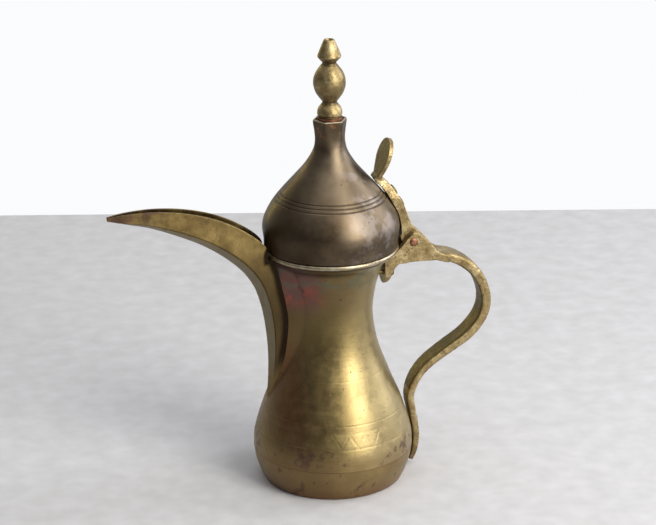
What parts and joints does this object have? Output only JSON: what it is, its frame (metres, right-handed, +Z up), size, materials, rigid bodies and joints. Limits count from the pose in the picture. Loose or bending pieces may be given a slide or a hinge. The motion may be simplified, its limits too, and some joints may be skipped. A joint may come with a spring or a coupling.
{
  "type": "dallah coffee pot",
  "caption": "Waisted brass Arabic coffee pot with an open beak spout, a cast S-shaped handle and a hinged onion-dome lid with thumb lever and turned finial.",
  "frame": {"origin": "centre of the flat base, on the pot's axis, on the surface that the pot stands on", "axes": "+Z up the pot's axis, +X from the axis towards the handle, so the spout points to -X and the hinge pin lies along Y"},
  "size_m": [0.2287, 0.0952, 0.27],
  "materials": {
    "raised_brass": "hand-burnished brass gone olive gold, with heat tints on the neck and pits low down",
    "cup_brass": "coppery-brown brass with corrosion stains",
    "ring_brass": "light worn brass wire",
    "spout_brass": "brown-gold brass sheet, darker at the seams",
    "cast_brass": "pitted pale-gold casting with dark hollows",
    "dome_bronze": "dark bronze-brown patina with three turned lines",
    "collar_brass": "dull unpolished brass",
    "finial_brass": "pale worn casting",
    "copper": "worn copper rivet metal",
    "stud_brass": "plain turned brass"
  },
  "bodies": {
    "pot": {"body_wall": "raised_brass", "base_cup": "cup_brass", "mouth_ring": "ring_brass", "spout": "spout_brass", "handle": "cast_brass", "hinge_pin": "copper", "foot_plate_rivets": "collar_brass", "tail_rivets": "cast_brass"},
    "lid": {"lid_dome": "dome_bronze", "lid_collar": "collar_brass", "neck_cap": "collar_brass", "finial_washer": "copper", "finial": "finial_brass", "finial_stud": "stud_brass", "stud_rove": "copper", "lid_strap": "cast_brass", "strap_rivets": "cast_brass"}
  },
  "joints": [
    {"name": "lid_hinge", "type": "hinge", "parent": "pot", "child": "lid", "pos_m": [0.048, 0, 0.1459], "axis": [0, 1, 0], "range_deg": [0, 92]}
  ]
}
